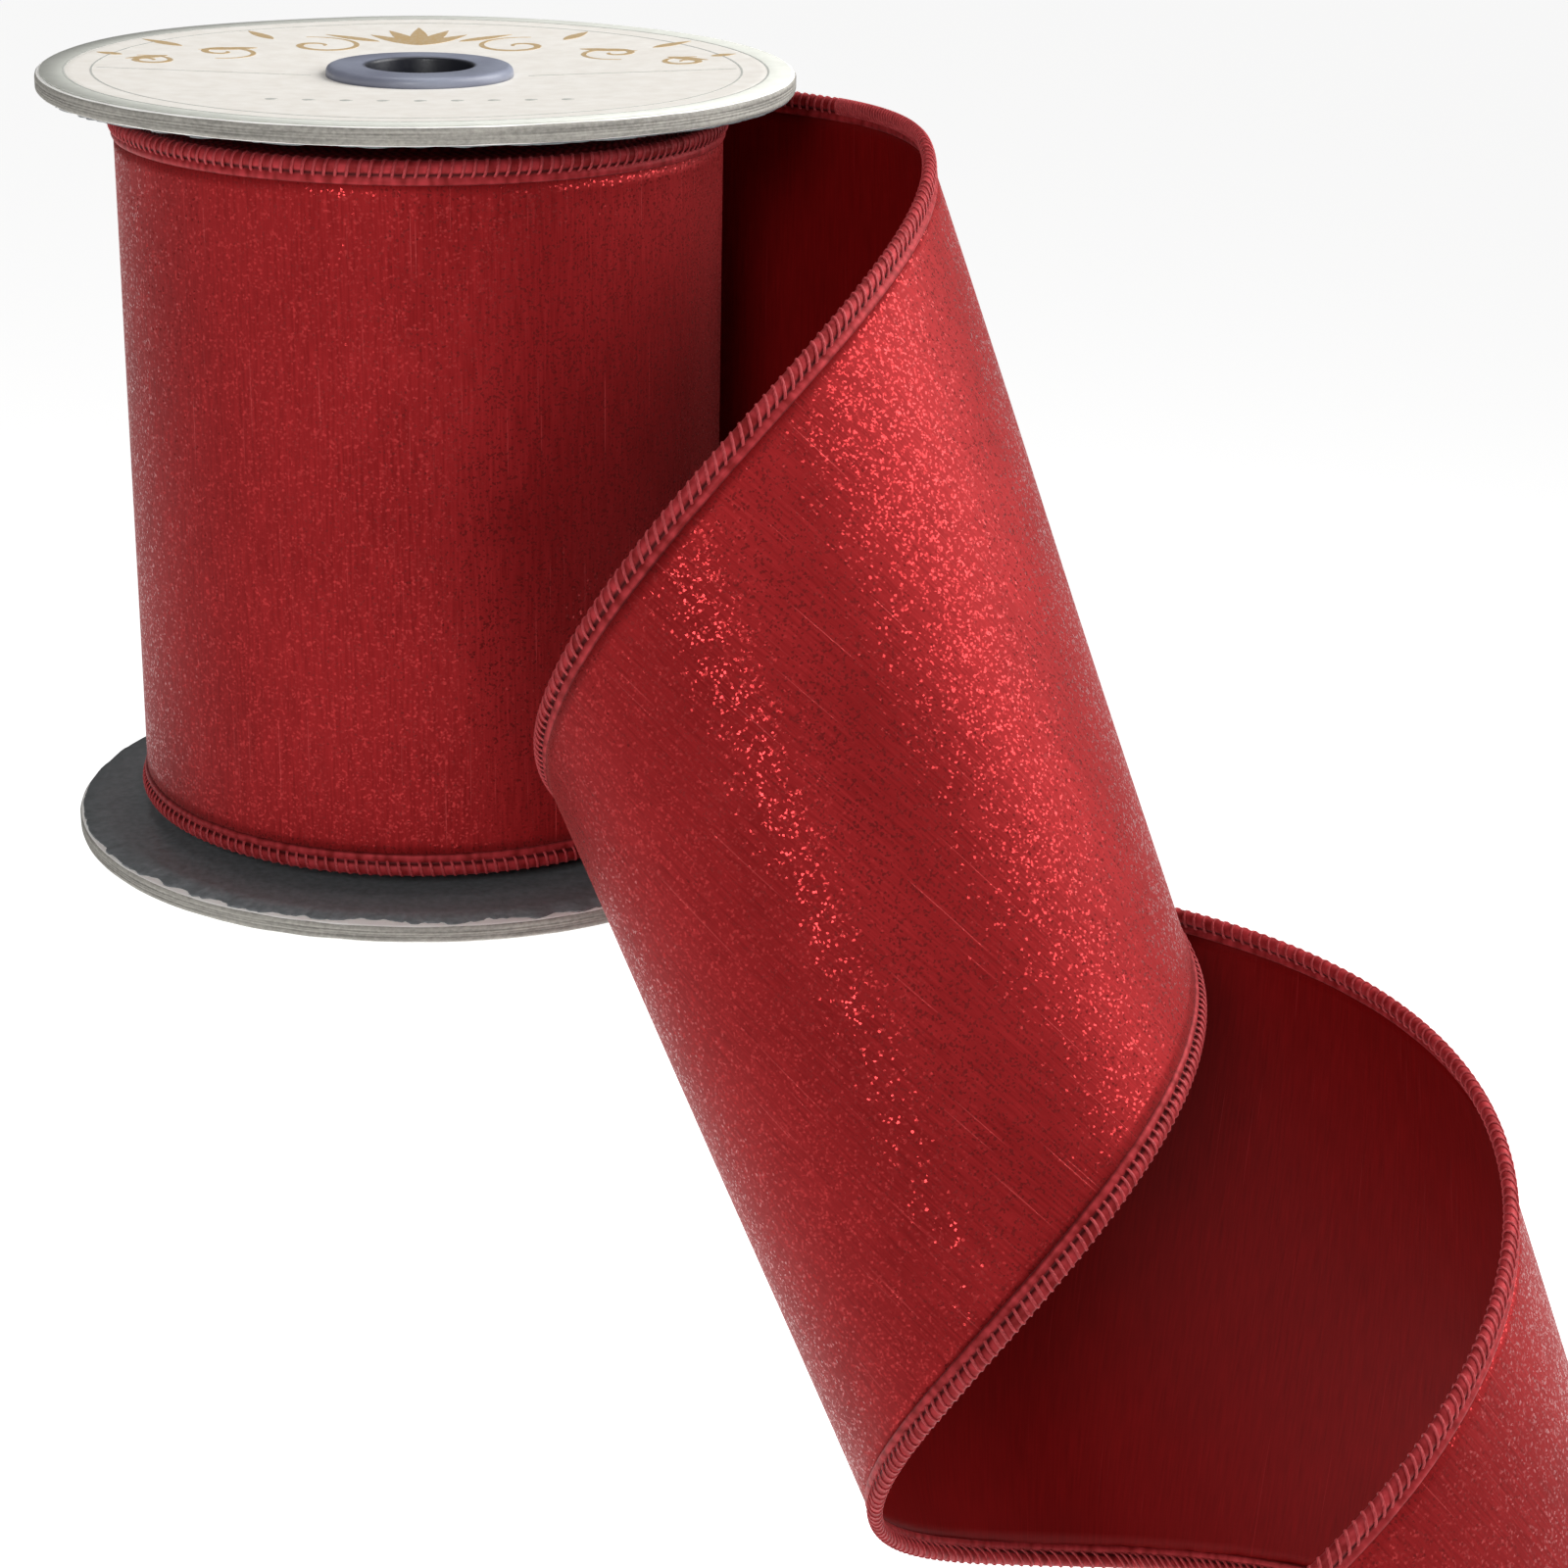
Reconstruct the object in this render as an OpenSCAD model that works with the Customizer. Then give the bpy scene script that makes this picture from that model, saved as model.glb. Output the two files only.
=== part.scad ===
// Ribbon spool: wired-edge fabric ribbon wound on a card spool, with a free curled tail.
// Millimetres. +Z is the spool's axis and z = 0 is the outer end of the lower hub plug.
// The ribbon runs clockwise seen from above, leaves the roll at the back and curls down at the right.

/* [Spool] */
// Diameter of the two flange boards
flange_d = 108; // [100:1:116]
// Distance between the flange linings at the rim
flange_gap = 108; // [106:1:112]
// Thickness of a flange board
board_t = 2.5; // [2:0.1:3]
// Thickness of the label and lining papers
paper_t = 0.25; // [0.2:0.05:0.4]
// Depth by which the hub pulls each board inwards at its centre
dish = 1.5; // [1.2:0.1:1.6]
// Diameter of the bore through the hub plugs
bore_d = 15.2; // [12:0.1:16]
// Diameter of the hub plug's outer lip
lip_d = 26.8; // [24:0.1:30]
// Length of the hub plug's barrel
barrel_l = 24; // [12:1:40]
// Outer diameter of the core tube
core_d = 25.4; // [24:0.1:26]
// Wall thickness of the core tube
core_wall = 3; // [2.5:0.1:3.2]

/* [Ribbon] */
// Width of the ribbon over its hems
ribbon_w = 101.6; // [96:0.1:102]
// Thickness of the tail and outer wrap fabric
fabric_t = 0.6; // [0.4:0.1:0.8]
// Width of a folded hem
hem_w = 3.2; // [2.4:0.1:4]
// Thickness of a folded hem
hem_t = 1.8; // [1.2:0.1:1.8]
// Diameter of the wound roll
roll_d = 84; // [60:1:84]
// Diameter of the wire in each hem
wire_d = 0.5; // [0.3:0.1:0.6]
// Thickness of the overlock thread
thread_t = 0.35; // [0.25:0.05:0.4]
// Distance between overlock stitches
stitch_pitch = 6; // [5:0.5:10]

/* [Loose end] */
// Height of the roll's middle above the lower flange's outer face
roll_mid_z = 56; // [56:0.5:57]
// Height of the loose turn's middle above the same face
wrap_mid_z = 57; // [56.5:0.5:57]
// Radius of the loose outer turn at the middle of its fabric
wrap_r = 43.4; // [43.4:0.1:44]
// Angle over which the loose turn goes round the roll
wrap_angle = 345; // [300:5:345]
// Angle at which the tail leaves the roll, clockwise from the back
leave_angle = 21.5; // [15:0.5:30]
// Length of the hanging tail along its middle
tail_l = 520; // [480:8:528]

/* [Hidden] */

board_grey = [0.66, 0.64, 0.60];
label_white = [0.93, 0.91, 0.88];
lining_slate = [0.20, 0.22, 0.24];
plug_grey = [0.45, 0.47, 0.54];
card_brown = [0.62, 0.52, 0.40];
tape_clear = [0.85, 0.80, 0.62];
ribbon_red = [0.60, 0.10, 0.11];
hem_red = [0.70, 0.14, 0.15];
wire_grey = [0.55, 0.55, 0.56];
thread_red = [0.78, 0.20, 0.21];

flange_r = flange_d / 2;
flange_t = board_t + 2 * paper_t;
spool_h = flange_gap + 2 * flange_t;
lip_r = lip_d / 2;
bore_r = bore_d / 2;
core_r = core_d / 2;
core_inner_r = core_r - core_wall;
barrel_r = core_inner_r - 0.2;
hub_hole_r = core_inner_r;
paper_margin = 0.5;
rim_chamfer = 0.4;
round_fn = 96;

roll_r = roll_d / 2;
roll_inner_r = core_r + 0.3;
tape_t = 0.2;
tape_l = 92;
tape_angle = 70;
edge_ridges = 18;
edge_ridge_h = 0.7;

// How the tail curls: distance along it, then its bend and its twist in degrees per 100 mm.
tail_course = [
    [0, 30, 0],    // leaves the roll nearly straight
    [60, 60, 5],   // swings out to the side
    [120, 85, 60], // falls across the front
    [230, 145, 65], // tight turn of the first curl
    [300, 95, 70], // passes behind itself
    [350, 80, 40], // opens out
    [500, 110, 50] // second curl
];
walk_step = 2;
ring_every = 4;
wrap_l = wrap_r * wrap_angle * PI / 180;
wrap_rings = 44;
wire_sides = 6;
wire_inset = 1.2;

edge_v = ribbon_w / 2;
fabric_v = edge_v - hem_w;
hem_chamfer = 0.5;

// Bend and twist at distance s, in radians per millimetre.
function course_at(s, column) = lookup(s, [for (row = tail_course) [row[0], row[column]]]) * PI / 18000;
function bend_at(s) = course_at(s, 1);
function twist_at(s) = course_at(s, 2);

// A station is [middle point, forward direction, downward direction, lean of the straight line].
function turn(v, axis, angle) =
    v * cos(angle) + cross(axis, v) * sin(angle) + axis * (axis * v) * (1 - cos(angle));

function next_station(st, s) =
    let (
        whirl = st[1] * twist_at(s + walk_step / 2) + st[2] * bend_at(s + walk_step / 2),
        rate = norm(whirl),
        axis = whirl / rate,
        angle = rate * walk_step * 180 / PI,
        along = axis * (axis * st[1]),
        across = st[1] - along,
        move = along * walk_step + (across * sin(angle) + cross(axis, across) * (1 - cos(angle))) / rate,
        s1 = s + walk_step
    )
    [st[0] + move, turn(st[1], axis, angle), turn(st[2], axis, angle), twist_at(s1) / bend_at(s1)];

function wrap_station(s) =
    let (a = leave_angle + s / wrap_r * 180 / PI)
    [[wrap_r * sin(a), wrap_r * cos(a), wrap_mid_z], [cos(a), -sin(a), 0], [0, 0, -1], 0];

walk = [
    for (i = 0, st = wrap_station(0); i * walk_step <= tail_l; st = next_station(st, i * walk_step), i = i + 1)
        st
];
tail_stations = [for (i = [0:ring_every:len(walk) - 1]) walk[i]];
wrap_stations = [for (i = [0:wrap_rings]) wrap_station(-wrap_l * (1 - i / wrap_rings))];
edge_stations = concat(wrap_stations, [for (i = [1:len(tail_stations) - 1]) tail_stations[i]]);

// A point of the ribbon: v is the distance up from its middle, h the height off its outer face.
function ribbon_point(st, v, h) = st[0] - v * (st[2] + st[3] * st[1]) + h * cross(st[1], st[2]);

function section(st, outline) = [for (p = outline) ribbon_point(st, p[0], p[1])];

fabric_outline = [
    [-fabric_v, fabric_t / 2], [-fabric_v, -fabric_t / 2],
    [fabric_v, -fabric_t / 2], [fabric_v, fabric_t / 2]
];
upper_hem_outline = [
    [fabric_v, fabric_t / 2], [fabric_v, -fabric_t / 2],
    [fabric_v + hem_chamfer, -hem_t / 2], [edge_v - hem_chamfer, -hem_t / 2],
    [edge_v, -hem_t / 4], [edge_v, hem_t / 4],
    [edge_v - hem_chamfer, hem_t / 2], [fabric_v + hem_chamfer, hem_t / 2]
];

function flipped(outline) = [for (i = [len(outline) - 1:-1:0]) [-outline[i][0], outline[i][1]]];

function wire_outline(side) = [
    for (i = [0:wire_sides - 1])
        let (a = i * 360 / wire_sides)
        [side * (edge_v - wire_inset) + wire_d / 2 * cos(a), wire_d / 2 * sin(a)]
];

// A closed skin over a row of sections that all have the same number of points.
module swept(sections) {
    n = len(sections[0]);
    last = len(sections) - 1;
    walls = [
        for (i = [0:last - 1], j = [0:n - 1])
            let (k = (j + 1) % n)
            each [
                [i * n + j, i * n + k, (i + 1) * n + k],
                [i * n + j, (i + 1) * n + k, (i + 1) * n + j]
            ]
    ];
    caps = [[for (j = [n - 1:-1:0]) j], [for (j = [0:n - 1]) last * n + j]];
    polyhedron(points = [for (s = sections) each s], faces = concat(walls, caps));
}

module along_ribbon(stations, outline) {
    swept([for (st = stations) section(st, outline)]);
}

// Height of a flange's outer face over the plane of its rim, at radius r.
function dish_at(r) = r <= lip_r ? dish : dish * (flange_r - r) / (flange_r - lip_r);

// One layer of the lower flange, from depth z0 to z1 below its outer face.
module flange_layer(inner_r, outer_r, z0, z1, chamfer = 0) {
    rotate_extrude($fn = round_fn)
        polygon([
            [inner_r, dish + z0],
            [lip_r, dish + z0],
            [outer_r - chamfer, dish_at(outer_r - chamfer) + z0],
            [outer_r, dish_at(outer_r) + z0 + chamfer],
            [outer_r, dish_at(outer_r) + z1 - chamfer],
            [outer_r - chamfer, dish_at(outer_r - chamfer) + z1],
            [lip_r, dish + z1],
            [inner_r, dish + z1]
        ]);
}

module at_upper_end() {
    translate([0, 0, spool_h])
        mirror([0, 0, 1])
            children();
}

module hub_plug() {
    rib_w = 1.2;
    nose = 1;
    rotate_extrude($fn = round_fn)
        polygon([
            [bore_r, 0],
            for (a = [-90:15:0]) [lip_r - dish * 0.6 + dish * 0.6 * cos(a), dish * 0.6 + dish * 0.6 * sin(a)],
            [lip_r, dish],
            [barrel_r, dish],
            [barrel_r, dish + barrel_l - nose],
            [barrel_r - nose / 2, dish + barrel_l],
            [bore_r, dish + barrel_l]
        ]);
    for (a = [0:90:270])
        rotate([0, 0, a])
            translate([bore_r + 0.5, -rib_w / 2, dish + flange_t + 1])
                cube([core_inner_r - bore_r - 0.55, rib_w, barrel_l - flange_t - 3]);
}

module flange_board() {
    flange_layer(hub_hole_r, flange_r, paper_t, paper_t + board_t, rim_chamfer);
}

module flange_label() {
    flange_layer(hub_hole_r, flange_r - paper_margin, 0, paper_t);
}

module flange_lining() {
    flange_layer(hub_hole_r, flange_r - paper_margin, paper_t + board_t, flange_t);
}

module core_tube() {
    color(card_brown)
        translate([0, 0, dish + flange_t])
            difference() {
                cylinder(h = spool_h - 2 * (dish + flange_t), r = core_r, $fn = round_fn);
                translate([0, 0, -1])
                    cylinder(h = spool_h, r = core_inner_r, $fn = round_fn);
            }
}

module core_tape() {
    color(tape_clear)
        translate([0, 0, roll_mid_z - tape_l / 2])
            rotate_extrude(angle = tape_angle, $fn = round_fn)
                translate([core_r, 0])
                    square([tape_t, tape_l]);
}

module lower_hub_plug() {
    color(plug_grey) hub_plug();
}

module upper_hub_plug() {
    color(plug_grey) at_upper_end() hub_plug();
}

module lower_flange_board() {
    color(board_grey) flange_board();
}

module upper_flange_board() {
    color(board_grey) at_upper_end() flange_board();
}

module lower_flange_label() {
    color(label_white) flange_label();
}

module upper_flange_label() {
    color(label_white) at_upper_end() flange_label();
}

module lower_flange_lining() {
    color(lining_slate) flange_lining();
}

module upper_flange_lining() {
    color(lining_slate) at_upper_end() flange_lining();
}

module ribbon_roll() {
    color(ribbon_red)
        translate([0, 0, roll_mid_z - fabric_v])
            difference() {
                cylinder(h = 2 * fabric_v, r = roll_r, $fn = round_fn);
                translate([0, 0, -1])
                    cylinder(h = ribbon_w, r = roll_inner_r, $fn = round_fn);
            }
}

// The stacked hems of the wound turns, with a ridge for every few turns.
module roll_hem() {
    pitch = (roll_r - roll_inner_r) / edge_ridges;
    rotate_extrude($fn = round_fn)
        polygon([
            [roll_inner_r, fabric_v],
            [roll_r, fabric_v],
            for (i = [edge_ridges - 1:-1:0])
                each [
                    [roll_inner_r + (i + 1) * pitch, edge_v - edge_ridge_h],
                    [roll_inner_r + (i + 0.7) * pitch, edge_v],
                    [roll_inner_r + (i + 0.3) * pitch, edge_v]
                ],
            [roll_inner_r, edge_v - edge_ridge_h]
        ]);
}

module roll_upper_hem() {
    color(hem_red)
        translate([0, 0, roll_mid_z])
            roll_hem();
}

module roll_lower_hem() {
    color(hem_red)
        translate([0, 0, roll_mid_z])
            mirror([0, 0, 1])
                roll_hem();
}

module outer_wrap() {
    color(ribbon_red) along_ribbon(wrap_stations, fabric_outline);
}

module tail_fabric() {
    color(ribbon_red) along_ribbon(tail_stations, fabric_outline);
}

module upper_hem() {
    color(hem_red) along_ribbon(edge_stations, upper_hem_outline);
}

module lower_hem() {
    color(hem_red) along_ribbon(edge_stations, flipped(upper_hem_outline));
}

module upper_wire() {
    color(wire_grey) along_ribbon(edge_stations, wire_outline(1));
}

module lower_wire() {
    color(wire_grey) along_ribbon(edge_stations, wire_outline(-1));
}

// Zigzag of overlock thread lying on a hem's outer face; side is 1 for the upper edge.
function tail_station(s) = walk[min(len(walk) - 1, round(s / walk_step))];

function stitch_station(s) = s < 0 ? wrap_station(s) : tail_station(s);

module stitching(side) {
    half = thread_t / 2;
    count = floor((wrap_l + tail_l) / stitch_pitch) - 1;
    inner = fabric_v + 0.4;
    outer = edge_v - 0.6;
    lift = hem_t / 2 + half + 0.05;
    swept([
        for (i = [1:count], leg = [0, 1])
            let (
                st = stitch_station(-wrap_l + (i + leg / 2) * stitch_pitch),
                v = side * (leg == 0 ? inner : outer)
            )
            [
                ribbon_point(st, v + half, lift),
                ribbon_point(st, v, lift + half),
                ribbon_point(st, v - half, lift),
                ribbon_point(st, v, lift - half)
            ]
    ]);
}

module upper_stitching() {
    color(thread_red) stitching(1);
}

module lower_stitching() {
    color(thread_red) stitching(-1);
}

core_tube();
core_tape();
lower_hub_plug();
upper_hub_plug();
lower_flange_board();
upper_flange_board();
lower_flange_label();
upper_flange_label();
lower_flange_lining();
upper_flange_lining();
ribbon_roll();
roll_upper_hem();
roll_lower_hem();
outer_wrap();
tail_fabric();
upper_hem();
lower_hem();
upper_wire();
lower_wire();
upper_stitching();
lower_stitching();
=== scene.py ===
import math

import bpy
import numpy as np
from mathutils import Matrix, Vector
from mathutils import noise


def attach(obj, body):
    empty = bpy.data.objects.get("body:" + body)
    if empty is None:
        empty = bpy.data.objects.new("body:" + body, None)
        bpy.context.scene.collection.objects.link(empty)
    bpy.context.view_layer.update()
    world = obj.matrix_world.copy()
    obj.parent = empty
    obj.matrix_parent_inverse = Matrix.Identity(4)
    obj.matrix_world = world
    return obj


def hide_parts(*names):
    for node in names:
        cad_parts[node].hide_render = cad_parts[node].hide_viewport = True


# A ribbon spool: wound wired-edge ribbon, card flanges, plastic hub and a free curled tail.
# Lengths are worked out in millimetres, as in the part's source, and turned into metres in new_mesh().

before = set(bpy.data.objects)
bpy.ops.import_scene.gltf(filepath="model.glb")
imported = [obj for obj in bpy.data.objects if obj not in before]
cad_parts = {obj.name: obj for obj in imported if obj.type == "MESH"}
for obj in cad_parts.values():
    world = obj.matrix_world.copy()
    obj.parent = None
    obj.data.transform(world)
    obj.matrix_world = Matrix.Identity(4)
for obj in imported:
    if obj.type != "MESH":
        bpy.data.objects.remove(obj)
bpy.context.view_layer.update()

MM = 0.001

# Spool
FLANGE_R = 54.0
BOARD_T = 2.5
PAPER_T = 0.25
DISH = 1.5
LIP_R = 13.4
BORE_R = 7.6
HUB_HOLE_R = 9.7
SPOOL_H = 114.0
FLANGE_T = BOARD_T + 2 * PAPER_T
INK = 0.03  # how far the print stands off the label
UPPER_SEED = 3.0  # where each flange's warp is taken from in the noise
LOWER_SEED = 17.0

# Ribbon: each _V is a height from the middle of its width
RIBBON_W = 101.6
EDGE_V = RIBBON_W / 2
HEM_W = 3.4
CREASE_V = EDGE_V - HEM_W
VALLEY = 1.5  # from the crease to the hollow between the hem's ridge and its cord
CORD_HALF_W = 1.0
CORD_HALF_T = 0.82
CORD_V = EDGE_V - CORD_HALF_W
LOOP_HALF_W = 1.2
LOOP_HALF_T = CORD_HALF_T + 0.08
LOOP_V = EDGE_V - LOOP_HALF_W + 0.05
THREAD_HALF_T = 0.15
THREAD_HALF_W = 0.24
STITCH_PITCH = 1.5
FABRIC_T = 0.4

# Loose ribbon
WRAP_R = 43.4
WRAP_MID_Z = 57.0
WRAP_ANGLE = 345.0
LEAVE_ANGLE = 21.5
TAIL_L = 520.0
WALK_STEP = 2.0

# How the tail curls: distance along it, then its bend and its twist in degrees per 100 mm.
TAIL_COURSE = [
    (0, 30, 0),  # leaves the roll nearly straight
    (60, 60, 5),  # swings out to the side
    (120, 85, 60),  # falls across the front
    (230, 145, 65),  # tight turn of the first curl
    (300, 95, 70),  # passes behind itself
    (350, 80, 40),  # opens out
    (500, 110, 50),  # second curl
]

# Wound roll
ROLL_MID_Z = 56.0
ROLL_INNER_R = 13.2
ROLL_OUTER_R = 41.2
ROLL_TURNS = 50
TURN_STEPS = 72


# ---------------------------------------------------------------- camera, light and floor


def make_camera():
    data = bpy.data.cameras.new("camera")
    data.sensor_width = 36.0
    data.lens = 74.1
    data.clip_start = 0.01
    camera = bpy.data.objects.new("camera", data)
    camera.location = (0.0, -0.472, 0.182)
    camera.rotation_euler = [math.radians(a) for a in (69.3, -1.05, -6.2)]
    bpy.context.scene.collection.objects.link(camera)
    bpy.context.scene.camera = camera


def area_light(name, place, aim, size, power, colour=(1.0, 1.0, 1.0)):
    data = bpy.data.lights.new(name, "AREA")
    data.shape = "DISK"
    data.size = size
    data.energy = power
    data.color = colour
    light = bpy.data.objects.new(name, data)
    light.location = place
    light.rotation_euler = (Vector(aim) - Vector(place)).to_track_quat("-Z", "Y").to_euler()
    bpy.context.scene.collection.objects.link(light)


def make_world():
    """White behind the object, and a dimmer white light on it, as in a studio with a white backdrop."""
    world = bpy.data.worlds.new("studio")
    world.use_nodes = True
    tree = world.node_tree
    light = tree.nodes["Background"]
    light.inputs["Color"].default_value = (1.0, 0.99, 0.98, 1.0)
    light.inputs["Strength"].default_value = 0.10
    backdrop = tree.nodes.new("ShaderNodeBackground")
    backdrop.inputs["Color"].default_value = (1.0, 1.0, 1.0, 1.0)
    seen = tree.nodes.new("ShaderNodeLightPath")
    either = tree.nodes.new("ShaderNodeMixShader")
    tree.links.new(seen.outputs["Is Camera Ray"], either.inputs[0])
    tree.links.new(light.outputs[0], either.inputs[1])
    tree.links.new(backdrop.outputs[0], either.inputs[2])
    tree.links.new(either.outputs[0], tree.nodes["World Output"].inputs["Surface"])
    bpy.context.scene.world = world


def make_studio():
    bpy.context.scene.view_settings.view_transform = "Standard"
    make_world()
    middle = (0.03, -0.03, 0.02)
    area_light("key", (0.75, 0.02, 0.58), middle, 0.95, 13.0)
    area_light("fill", (-0.7, -0.62, 0.30), middle, 0.7, 0.5)
    area_light("front", (-0.16, -0.72, 0.36), middle, 0.22, 2.1)
    area_light("top", (-0.05, 0.25, 0.95), middle, 0.6, 2.2)
    floor = new_mesh("floor", *plane_grid(6000.0, -420.0))
    floor.data.materials.append(floor_material())


def plane_grid(half, z):
    points = [(-half, -half, z), (half, -half, z), (half, half, z), (-half, half, z)]
    return points, [(0, 1, 2, 3)]


# ---------------------------------------------------------------- mesh helpers


def new_mesh(name, points, faces, flat=None, smooth=True):
    """A mesh object from points in millimetres; flat is each point's place on the uncut ribbon."""
    mesh = bpy.data.meshes.new(name)
    mesh.from_pydata((np.asarray(points, float) * MM).tolist(), [], faces)
    if flat is not None:
        layer = mesh.uv_layers.new(name="flat")
        corner = np.zeros(len(mesh.loops), np.int32)
        mesh.loops.foreach_get("vertex_index", corner)
        layer.data.foreach_set("uv", (np.asarray(flat)[corner] * MM).astype(np.float32).ravel())
    if smooth:
        mesh.polygons.foreach_set("use_smooth", [True] * len(mesh.polygons))
    mesh.update()
    piece = bpy.data.objects.new(name, mesh)
    bpy.context.scene.collection.objects.link(piece)
    return piece


def tube_faces(rings, across, ends=True, loop=False):
    """Faces of a closed skin over rings of points; loop joins the last ring to the first."""
    faces = []
    for i in range(rings if loop else rings - 1):
        a, b = i * across, (i + 1) % rings * across
        for j in range(across):
            k = (j + 1) % across
            faces.append((a + j, a + k, b + k, b + j))
    if ends and not loop:
        last = (rings - 1) * across
        faces.append(tuple(range(across - 1, -1, -1)))
        faces.append(tuple(range(last, last + across)))
    return faces


def lathe(name, profile, steps=240, shape=None):
    """A closed ring from a closed (radius, height) profile; shape moves a point by its angle."""
    points = []
    for i in range(steps):
        a = 2 * math.pi * i / steps
        for r, z in profile:
            if shape:
                r, z = shape(a, r, z)
            points.append((r * math.cos(a), r * math.sin(a), z))
    return new_mesh(name, points, tube_faces(steps, len(profile), loop=True))


def wobble(*place):
    """Smooth noise between about -1 and 1, the same at every run."""
    return noise.noise(Vector((place + (0.0, 0.0, 0.0))[:3]))


# ---------------------------------------------------------------- the ribbon's course


def course_at(s, column):
    """Bend or twist at distance s, in radians per millimetre."""
    rates = [math.radians(row[column]) / 100 for row in TAIL_COURSE]
    return np.interp(s, [row[0] for row in TAIL_COURSE], rates)


def bend_at(s):
    """Bend in radians per millimetre."""
    return course_at(s, 1)


def twist_at(s):
    """Twist in radians per millimetre."""
    return course_at(s, 2)


def turned(v, axis, angle):
    """Vector v turned about a unit axis."""
    c, s = math.cos(angle), math.sin(angle)
    return v * c + np.cross(axis, v) * s + axis * (axis @ v) * (1 - c)


class Course:
    """The middle line of the loose ribbon: wrap turn at negative distances, tail at positive ones."""

    def __init__(self):
        self.wrap_l = WRAP_R * math.radians(WRAP_ANGLE)
        rows = []
        place, forward, down, _ = self.wrap_station(0.0)
        s = 0.0
        rows.append(np.concatenate([place, forward, down, [0.0]]))
        while s < TAIL_L - 1e-6:
            middle = s + WALK_STEP / 2
            whirl = forward * twist_at(middle) + down * bend_at(middle)
            rate = np.linalg.norm(whirl)
            axis = whirl / rate
            angle = rate * WALK_STEP
            along = axis * (axis @ forward)
            across = forward - along
            sweep = across * math.sin(angle) + np.cross(axis, across) * (1 - math.cos(angle))
            place = place + along * WALK_STEP + sweep / rate
            forward = turned(forward, axis, angle)
            down = turned(down, axis, angle)
            s += WALK_STEP
            rows.append(np.concatenate([place, forward, down, [twist_at(s) / bend_at(s)]]))
        self.rows = np.array(rows)
        self.s = np.arange(len(rows)) * WALK_STEP

    def wrap_station(self, s):
        """Middle point, forward and down directions, and lean of the straight line, on the wrap."""
        a = math.radians(LEAVE_ANGLE) + s / WRAP_R
        tuck = min(1.0, max(0.0, (s + self.wrap_l) / 24.0))
        r = WRAP_R - 0.7 * (1 - tuck * tuck * (3 - 2 * tuck))
        place = np.array([r * math.sin(a), r * math.cos(a), WRAP_MID_Z])
        return place, np.array([math.cos(a), -math.sin(a), 0.0]), np.array([0.0, 0.0, -1.0]), 0.0

    def station(self, s):
        if s < 0:
            return self.wrap_station(s)
        row = [np.interp(s, self.s, self.rows[:, k]) for k in range(10)]
        forward, down = np.array(row[3:6]), np.array(row[6:9])
        return np.array(row[0:3]), forward / np.linalg.norm(forward), down / np.linalg.norm(down), row[9]

    def stations(self, distances):
        """Arrays of places, forward, down and outward directions and leans at many distances."""
        found = [self.station(s) for s in distances]
        place, forward, down, lean = (np.array(column) for column in zip(*found))
        return place, forward, down, np.cross(forward, down), lean


COURSE = Course()


def ribbon_surface(distances, v, h):
    """Points at distances along, v up from the middle and h off the outer face, and their flat places."""
    place, forward, down, outward, lean = COURSE.stations(distances)
    v, h = np.broadcast_arrays(v, h)
    v, h = (np.broadcast_to(x, (len(distances), x.shape[-1])) for x in (v, h))
    line = down + lean[:, None] * forward
    points = place[:, None] - v[..., None] * line[:, None] + h[..., None] * outward[:, None]
    along = np.asarray(distances)[:, None] - v * lean[:, None]
    return points, np.stack([along + COURSE.wrap_l, v + EDGE_V], -1)


# ---------------------------------------------------------------- materials


class Shader:
    """A Principled material and short ways to add and join its nodes."""

    def __init__(self, name):
        self.material = bpy.data.materials.new(name)
        self.material.use_nodes = True
        self.tree = self.material.node_tree
        self.surface = self.tree.nodes["Principled BSDF"]

    def add(self, kind, inputs=None, **settings):
        node = self.tree.nodes.new("ShaderNode" + kind)
        for key, value in settings.items():
            setattr(node, key, value)
        for key, value in (inputs or {}).items():
            self.feed(node.inputs[key], value)
        return node

    def feed(self, socket, value):
        if isinstance(value, bpy.types.NodeSocket):
            self.tree.links.new(value, socket)
        else:
            socket.default_value = value

    def set(self, **inputs):
        for key, value in inputs.items():
            self.feed(self.surface.inputs[key.replace("_", " ")], value)

    def math(self, operation, a, b=0.0, clamp=False):
        return self.add("Math", {0: a, 1: b}, operation=operation, use_clamp=clamp).outputs[0]

    def vector(self, operation, a, b=(0.0, 0.0, 0.0), scale=1.0):
        return self.add("VectorMath", {0: a, 1: b, 3: scale}, operation=operation).outputs[0]

    def remap(self, value, low, high, to_low=0.0, to_high=1.0):
        inputs = {"Value": value, 1: low, 2: high, 3: to_low, 4: to_high}
        return self.add("MapRange", inputs).outputs[0]

    def mix(self, share, a, b):
        node = self.add("Mix", {"Factor": share}, data_type="RGBA")
        self.feed(node.inputs[6], a)
        self.feed(node.inputs[7], b)
        return node.outputs[2]

    def scaled(self, vector, scale):
        return self.add("Mapping", {"Vector": vector, "Scale": scale}).outputs[0]

    def noise(self, vector, scale=(1, 1, 1), detail=2.0, roughness=0.5):
        inputs = {"Vector": self.scaled(vector, scale), "Scale": 1.0}
        inputs |= {"Detail": detail, "Roughness": roughness}
        return self.add("TexNoise", inputs).outputs[0]

    def bump(self, height, distance, strength=1.0, normal=None):
        inputs = {"Height": height, "Distance": distance, "Strength": strength}
        if normal is not None:
            inputs["Normal"] = normal
        return self.add("Bump", inputs).outputs[0]

    def flat(self):
        return self.add("UVMap", uv_map="flat").outputs[0]

    def place(self):
        return self.add("TexCoord").outputs["Object"]


def per_mm(*periods):
    """Noise scales for a pattern whose periods are given in millimetres."""
    return tuple(1000.0 / p for p in periods)


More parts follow.
